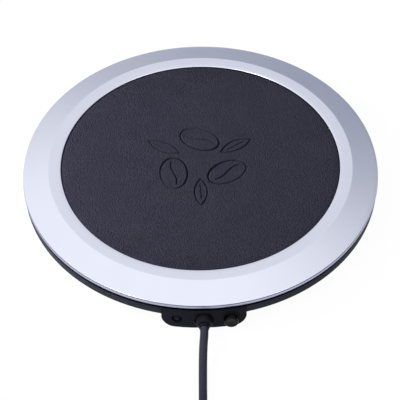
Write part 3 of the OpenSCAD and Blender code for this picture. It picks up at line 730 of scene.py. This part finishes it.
# An empty material and its node tree.
def newMaterial(name):
    material = bpy.data.materials.new(name)
    material.use_nodes = True
    material.node_tree.nodes.clear()
    return material, material.node_tree


# Two close colours mixed by a noise of a given grain, as any real surface varies.
def mottled(tree, place, colours, grain):
    noise = addNode(tree, "ShaderNodeTexNoise", {"Scale": scaleFor(grain), "Detail": 3.0},
                    {"Vector": place})
    mix = addNode(tree, "ShaderNodeMix", {"data_type": "RGBA", 6: linearColour(colours[0]),
                                          7: linearColour(colours[1])}, {0: noise.outputs["Fac"]})
    return mix.outputs[2]


# The tooth that a mould or a die leaves: a noise that moves the roughness a little either way and
# lifts the surface. A real tooth is finer than most grains given here, which have to show.
def toothed(tree, place, roughness, grain, relief):
    tooth = addNode(tree, "ShaderNodeTexNoise", {"Scale": scaleFor(grain), "Detail": 3.0},
                    {"Vector": place})
    rough = addNode(tree, "ShaderNodeMapRange",
                    {"To Min": roughness - 0.05, "To Max": roughness + 0.05},
                    {"Value": tooth.outputs["Fac"]})
    bump = addNode(tree, "ShaderNodeBump", {"Strength": 0.3, "Distance": relief},
                   {"Height": tooth.outputs["Fac"]})
    return rough, bump


# Ends a material: its colour, roughness and relief go to one shader, and that to the output.
def endMaterial(tree, settings, colour, rough, bump):
    shader = addNode(tree, "ShaderNodeBsdfPrincipled", settings,
                     {"Base Color": colour, "Roughness": rough.outputs["Result"],
                      "Normal": bump.outputs["Normal"]})
    addNode(tree, "ShaderNodeOutputMaterial", {}, {"Surface": shader.outputs["BSDF"]})


# Bead-blasted anodised aluminium: an even cool silver that spreads reflections, with a fine tooth.
# Real blasting leaves pits of about 0.05 mm; they are drawn five times as wide, or none would show.
# The groove under the bevel is painted dark as painted shade. The bead below it is only turned, so
# it is rougher, and it is painted duller and bluer as a painted darker reflection.
def satinAluminium():
    material, tree = newMaterial("satinAnodisedAluminium")
    place = addNode(tree, "ShaderNodeTexCoord").outputs["Object"]
    tooth = addNode(tree, "ShaderNodeTexNoise", {"Scale": scaleFor(0.25), "Detail": 2.0},
                    {"Vector": place})
    cloud = addNode(tree, "ShaderNodeTexNoise", {"Scale": scaleFor(14), "Detail": 2.0},
                    {"Vector": place})
    blasted = addNode(tree, "ShaderNodeMapRange", {"To Min": 0.24, "To Max": 0.29},
                      {"Value": cloud.outputs["Fac"]})
    bump = addNode(tree, "ShaderNodeBump", {"Strength": 0.06, "Distance": 0.00003},
                   {"Height": tooth.outputs["Fac"]})
    height = addNode(tree, "ShaderNodeSeparateXYZ", {}, {"Vector": place})
    bevelEdge = (ring["top"] - ring["bevelDrop"]) * mm
    step = addNode(tree, "ShaderNodeMapRange",
                   {"From Min": bevelEdge - 0.001, "From Max": bevelEdge},
                   {"Value": height.outputs["Z"]})
    rough = addNode(tree, "ShaderNodeMapRange", {"From Min": 0.4, "From Max": 0.8, "To Min": 0.5},
                    {"Value": step.outputs["Result"], "To Max": blasted.outputs["Result"]})
    # painted shade and reflection, as shares of the metal's colour, upwards: the bead, the groove
    # from 0.40 to 0.70, the bevel
    paintedEdgeShade = addNode(tree, "ShaderNodeValToRGB", {}, {"Fac": step.outputs["Result"]})
    # the bead's tone is a painted darker reflection, the groove's a painted shade, the bevel keeps
    # the full colour
    bead, groove, bevel = (0.54, 0.555, 0.63, 1), (0.2, 0.2, 0.2, 1), (1, 1, 1, 1)
    stops = paintedEdgeShade.color_ramp.elements
    stops[0].position, stops[0].color = 0.34, bead
    stops[1].position, stops[1].color = 0.84, bevel
    for position in (0.40, 0.70):
        stops.new(position).color = groove
    colour = addNode(tree, "ShaderNodeMix", {"data_type": "RGBA", "blend_type": "MULTIPLY", 0: 1.0},
                     {6: mottled(tree, place, ("#e2e5f4", "#e9ecf9"), 20),
                      7: paintedEdgeShade.outputs["Color"]})
    endMaterial(tree, {"Metallic": 1.0}, colour.outputs[2], rough, bump)
    return material


# Polyurethane leather, embossed by a roller: small rounded pebbles with creases between them, and
# a dull sheen. A real grain of about 0.6 mm would be lost at this distance, so they are 0.95 mm.
# The design's lines and the pad's cut edge, all that lies 0.5 mm or more under the top, are painted
# nearly black: painted shade in the recesses, over the darkening of the hot stamp.
def puLeather():
    material, tree = newMaterial("embossedPuLeather")
    place = addNode(tree, "ShaderNodeTexCoord").outputs["Object"]
    wander = addNode(tree, "ShaderNodeTexNoise", {"Scale": scaleFor(2.4), "Detail": 2.0},
                     {"Vector": place})
    bent = addNode(tree, "ShaderNodeVectorMath",
                   {"operation": "MULTIPLY_ADD", 1: (0.0009, 0.0009, 0.0009)},
                   {0: wander.outputs["Color"], 2: place})
    pebbles = addNode(tree, "ShaderNodeTexVoronoi",
                      {"feature": "DISTANCE_TO_EDGE", "Scale": scaleFor(0.95)},
                      {"Vector": bent.outputs["Vector"]})
    dome = addNode(tree, "ShaderNodeMapRange",
                   {"interpolation_type": "SMOOTHSTEP", "From Min": 0.0, "From Max": 0.22},
                   {"Value": pebbles.outputs["Distance"]})
    pores = addNode(tree, "ShaderNodeTexNoise", {"Scale": scaleFor(0.5), "Detail": 4.0},
                    {"Vector": place})
    height = addNode(tree, "ShaderNodeMath", {"operation": "MULTIPLY_ADD", 1: 0.7},
                     {0: pores.outputs["Fac"], 2: dome.outputs["Result"]})
    bump = addNode(tree, "ShaderNodeBump", {"Strength": 1.0, "Distance": 0.00018},
                   {"Height": height.outputs["Value"]})
    rough = addNode(tree, "ShaderNodeMapRange", {"To Min": 0.62, "To Max": 0.5},
                    {"Value": dome.outputs["Result"]})
    level = addNode(tree, "ShaderNodeSeparateXYZ", {}, {"Vector": place})
    top = leather["top"] * mm
    # painted shade: the colour goes nearly black from 0.3 to 0.5 mm under the top, in the lines and
    # on the cut edge
    recessShadeMask = addNode(tree, "ShaderNodeMapRange",
                      {"From Min": top - 0.0005, "From Max": top - 0.0003},
                      {"Value": level.outputs["Z"]})
    colour = addNode(tree, "ShaderNodeMix", {"data_type": "RGBA", 6: linearColour("#07070a")},
                     {0: recessShadeMask.outputs["Result"],
                      7: mottled(tree, place, ("#1f1f29", "#25252f"), 9)})
    endMaterial(tree, {"IOR": 1.15}, colour.outputs[2], rough, bump)
    return material


# Tones of the housing, each as two close colours, and where they start, in mm; the block's tone is
# painted shade, and the top edge's a painted shadow.
housing = {
    "wall": ("#22242b", "#262830"),
    "block": ("#13141a", "#17181f"),
    "blockFrom": (64.7, 64.9),     # from the axis
    "paintedLipShadow": "#030305",
    "paintedLipShadowFrom": (8.7, 9.1),     # above the table
}


# Spark-eroded black ABS: a fine even tooth scatters the light, so the wall looks a dull blue-grey.
# The port block, which is all of it that lies past the wall's radius, is the same plastic painted
# darker: painted shade. The wall's top edge, under the ring's lip, is painted nearly black: a
# painted shadow.
def mouldedAbs():
    material, tree = newMaterial("mouldedAbs")
    place = addNode(tree, "ShaderNodeTexCoord").outputs["Object"]
    rough, bump = toothed(tree, place, 0.45, 0.3, 0.00003)
    height = addNode(tree, "ShaderNodeSeparateXYZ", {}, {"Vector": place})
    flat = addNode(tree, "ShaderNodeVectorMath", {"operation": "MULTIPLY", 1: (1, 1, 0)},
                   {0: place})
    reach = addNode(tree, "ShaderNodeVectorMath", {"operation": "LENGTH"},
                    {0: flat.outputs["Vector"]})
    # the port block, painted darker than the wall as painted shade
    near, far = housing["blockFrom"]
    block = addNode(tree, "ShaderNodeMapRange", {"From Min": near * mm, "From Max": far * mm},
                    {"Value": reach.outputs["Value"]})
    # painted shadow under the ring's lip, nearly black from this height up
    low, high = housing["paintedLipShadowFrom"]
    top = addNode(tree, "ShaderNodeMapRange", {"From Min": low * mm, "From Max": high * mm},
                  {"Value": height.outputs["Z"]})
    wall = addNode(tree, "ShaderNodeMix",
                   {"data_type": "RGBA", 7: linearColour(housing["paintedLipShadow"])},
                   {0: top.outputs["Result"], 6: mottled(tree, place, housing["wall"], 4)})
    colour = addNode(tree, "ShaderNodeMix", {"data_type": "RGBA"},
                     {0: block.outputs["Result"], 6: wall.outputs[2],
                      7: mottled(tree, place, housing["block"], 4)})
    endMaterial(tree, {"IOR": 1.1}, colour.outputs[2], rough, bump)
    return material


# A plain moulded or drawn finish: colour variation, a fine tooth, and a roughness for the process
# that made it. Its grain and relief are in mm and m, and its colour varies over 12 grains.
def plainFinish(name, colours, roughness, grain, relief=0.00002, metallic=0.0, ior=1.5):
    material, tree = newMaterial(name)
    place = addNode(tree, "ShaderNodeTexCoord").outputs["Object"]
    rough, bump = toothed(tree, place, roughness, grain, relief)
    settings = {"Metallic": 1.0} if metallic else {"IOR": ior}
    endMaterial(tree, settings, mottled(tree, place, colours, grain * 12), rough, bump)
    return material


# Each entry: the nodes or pieces, then the finish. The comment says what the process gives the eye.
finishes = [
    (["base_shell"], mouldedAbs()),
    # black ABS inside, painted nearly black, darker than the housing's outside: painted shade for
    # the gap under the ring
    (["top_frame"], plainFinish("mouldedAbsFrame", ("#040407", "#060609"), 0.5, 0.3, ior=1.2)),
    # soft-moulded PVC: smoother than the housing, with a soft highlight
    (["strain_relief"], plainFinish("softPvc", ("#0f0f15", "#121218"), 0.4, 0.25, ior=1.15)),
    # extruded PVC: a faint lengthwise sheen over a slightly lighter grey
    ([leadPiece, "lead_end"],
     plainFinish("extrudedPvc", ("#292834", "#2d2c38"), 0.4, 0.5, ior=1.15)),
    # PVC moulded over the plug: matte, with the tooth of its tool
    ([gripPiece, sleevePiece],
     plainFinish("overmouldedPvc", ("#1f1e24", "#232228"), 0.48, 0.3, 0.00003, ior=1.35)),
    # polished tool: the cap is nearly black, and holds a clean edge light
    ([buttonPiece], plainFinish("satinAbs", ("#030304", "#050506"), 0.2, 0.3, 0.000003, ior=1.24)),
    # moulded silicone rubber: dusty and without gloss
    (["non_slip_ring"], plainFinish("mouldedRubber", ("#1d1d1f", "#232325"), 0.75, 0.5, 0.00004)),
    # woven nylon: fibres scatter the light, so it has no highlight
    ([strapPiece], plainFinish("wovenNylon", ("#151518", "#202024"), 0.9, 0.4, 0.00008, ior=1.25)),
    # smoked epoxy: a dark clear lens with one soft reflection
    ([lampPiece],
     plainFinish("smokedEpoxy", ("#0d1117", "#11151b"), 0.25, 0.6, 0.000003, ior=1.14)),
    # bright nickel on drawn steel: smooth and slightly warm
    (["plug_shell"], plainFinish("nickelPlate", ("#c9ccd0", "#d0d3d6"), 0.22, 1.0, 0.000005, 1.0)),
    # thin gold over the contacts: yellow and smooth
    (["plug_contacts"], plainFinish("goldFlash", ("#caa24c", "#d2ad58"), 0.25, 0.5, 0.000005, 1.0)),
    # white nylon: milky and even
    (["plug_tongue"], plainFinish("whiteNylon", ("#e2e2df", "#e9e9e6"), 0.5, 0.4, 0.00001)),
    # rolled sheet: cool grey with soft clouds from the rollers
    (["heating_plate"],
     plainFinish("rolledAluminium", ("#b9bcc0", "#c6c8cb"), 0.35, 0.8, 0.00001, 1.0)),
    # amber polyimide film: glossy and see-through brown
    (["heater_film"], plainFinish("polyimideFilm", ("#a9651f", "#b9742c"), 0.25, 1.2, 0.00001)),
    # needled felt: loose fibres, quite matte
    (["insulation_pad"], plainFinish("needledFelt", ("#cdc7b6", "#dcd7c8"), 0.95, 0.35, 0.0001)),
    # tinned steel sheet: grey with large dull patches
    (["backing_plate"], plainFinish("tinplate", ("#8f9296", "#a0a3a7"), 0.3, 1.5, 0.00001, 1.0)),
    # zinc-plated screws: bluish grey and lightly brushed
    (["backing_screws", "housing_screws", "clamp_screws"],
     plainFinish("zincPlatedSteel", ("#a4a7aa", "#b8babd"), 0.33, 0.4, 0.00001, 1.0)),
    # solder mask: a glossy green film over the board
    (["circuit_board"], plainFinish("solderMask", ("#235a3c", "#2b6a48"), 0.35, 0.6, 0.00001)),
    # black nylon: satin and dark grey
    (["switch_body", "cord_clamp"], plainFinish("blackNylon", ("#242427", "#2b2b2e"), 0.55, 0.4)),
    # natural acetal: waxy off-white
    (["switch_plunger"], plainFinish("naturalAcetal", ("#d9d7cf", "#e2e0d8"), 0.45, 0.4, 0.00001)),
    # drawn steel wire: bright, with fine draw marks
    ([springPiece, "led_legs"],
     plainFinish("drawnSteelWire", ("#a3a6aa", "#b4b7ba"), 0.3, 0.3, 0.00001, 1.0)),
    # glass-fibre sleeved wire: pale and matte
    (["supply_wires", "heater_wires", "cutout_wires"],
     plainFinish("wireInsulation", ("#b9b09d", "#cac2b0"), 0.5, 0.4, 0.00001)),
    # potted ceramic: chalky tan
    (["thermal_cutout"], plainFinish("pottedCeramic", ("#a39574", "#b3a584"), 0.6, 0.4, 0.00002)),
    ([ringPiece], satinAluminium()),
    ([leatherPiece], puLeather()),
]
for things, material in finishes:
    for thing in things:
        obj = nodes[thing] if isinstance(thing, str) else thing
        obj.data.materials.clear()
        obj.data.materials.append(material)
print("finishes set")


# Floor and sky.
studio = {
    "floorRadius": 30.0,      # m
    "floorDrop": 0.00005,
    "floorColour": (0.9, 0.9, 0.9, 1),
    "floorWhite": 0.96,       # share of plain white that the camera sees, over the lit floor
    "skyDark": (0.27, 0.29, 0.362, 1),
    "skyBright": (1.04, 1.04, 1.04, 1),
    "skyFrom": (-0.601, -0.565, 0.565),
    "skyRange": (-0.757, 0.445),  # from dark to bright, as the cosine of the angle to skyFrom
    "spotBlend": 0.33,        # share of a spot's cone over which its edge fades
}

# Each light: place in metres, size, power, colour, and the cone in degrees where it is a spot.
lights = {
    "keyLight": ((-0.9, -0.75, 1.1), 0.5, 7.0, "#ffffff", None),
    "sideLight": ((-0.28, 0.0, 0.22), 0.08, 11.5, "#ffffff", 27),
    "edgeLight": ((0.8, -0.9, 0.5), 0.18, 0.9, "#d5deff", None),
}


# A large pale disc that the camera, and what mirrors it, sees as white, and that still takes the
# shadow.
def makeFloor():
    work = bmesh.new()
    bmesh.ops.create_circle(work, cap_ends=True, segments=96, radius=studio["floorRadius"])
    mesh = bpy.data.meshes.new("floor")
    work.to_mesh(mesh)
    work.free()
    floor = bpy.data.objects.new("floor", mesh)
    floor.location.z = -studio["floorDrop"]
    bpy.context.scene.collection.objects.link(floor)
    material, tree = newMaterial("paleFloor")
    ray = addNode(tree, "ShaderNodeLightPath")
    seen = addNode(tree, "ShaderNodeMath", {"operation": "ADD", "use_clamp": True},
                   {0: ray.outputs["Is Camera Ray"], 1: ray.outputs["Is Glossy Ray"]})
    seen = addNode(tree, "ShaderNodeMath", {"operation": "ADD", "use_clamp": True},
                   {0: seen.outputs["Value"], 1: ray.outputs["Is Transmission Ray"]})
    share = addNode(tree, "ShaderNodeMath", {"operation": "MULTIPLY", 1: studio["floorWhite"]},
                    {0: seen.outputs["Value"]})
    plain = addNode(tree, "ShaderNodeBsdfDiffuse", {"Color": studio["floorColour"]})
    white = addNode(tree, "ShaderNodeEmission", {"Color": (1, 1, 1, 1), "Strength": 1.0})
    mix = addNode(tree, "ShaderNodeMixShader", {}, {0: share.outputs["Value"],
                                                    1: plain.outputs["BSDF"],
                                                    2: white.outputs["Emission"]})
    addNode(tree, "ShaderNodeOutputMaterial", {}, {"Surface": mix.outputs["Shader"]})
    mesh.materials.append(material)


# The sky is white overhead and to the left front, and falls to a bluish grey at the right and the
# back, by a smooth step of the cosine of the angle to its brightest place.
def makeWorld():
    world = bpy.data.worlds.new("studioSky")
    world.use_nodes = True
    tree = world.node_tree
    tree.nodes.clear()
    heading = addNode(tree, "ShaderNodeTexCoord").outputs["Generated"]
    brightest = Vector(studio["skyFrom"]).normalized()
    facing = addNode(tree, "ShaderNodeVectorMath", {"operation": "DOT_PRODUCT", 1: brightest},
                     {0: heading})
    dark, bright = studio["skyRange"]
    level = addNode(tree, "ShaderNodeMapRange",
                    {"interpolation_type": "SMOOTHSTEP", "From Min": dark, "From Max": bright},
                    {"Value": facing.outputs["Value"]})
    mix = addNode(tree, "ShaderNodeMix", {"data_type": "RGBA", 6: studio["skyDark"],
                                          7: studio["skyBright"]}, {0: level.outputs["Result"]})
    sky = addNode(tree, "ShaderNodeBackground", {"Strength": 1.0}, {"Color": mix.outputs[2]})
    addNode(tree, "ShaderNodeOutputWorld", {}, {"Surface": sky.outputs["Background"]})
    bpy.context.scene.world = world


# Each light faces the middle of the part: a disc, or a spot whose edge fades. The spot is a low
# fill from the left, and is kept out of reflections so that the metal holds no hot spot.
def makeLights():
    for name, (place, size, power, colour, cone) in lights.items():
        data = bpy.data.lights.new(name, "SPOT" if cone else "AREA")
        if cone:
            data.spot_size, data.spot_blend = math.radians(cone), studio["spotBlend"]
            data.shadow_soft_size = size / 2
        else:
            data.shape, data.size = "DISK", size
        data.energy = power
        data.color = linearColour(colour)[:3]
        obj = bpy.data.objects.new(name, data)
        obj.visible_glossy = not cone
        obj.location = place
        obj.rotation_euler = (-Vector(place)).to_track_quat("-Z", "Y").to_euler()
        bpy.context.scene.collection.objects.link(obj)


makeFloor()
makeWorld()
makeLights()
bpy.context.scene.view_settings.view_transform = "Standard"
print("floor and light set")
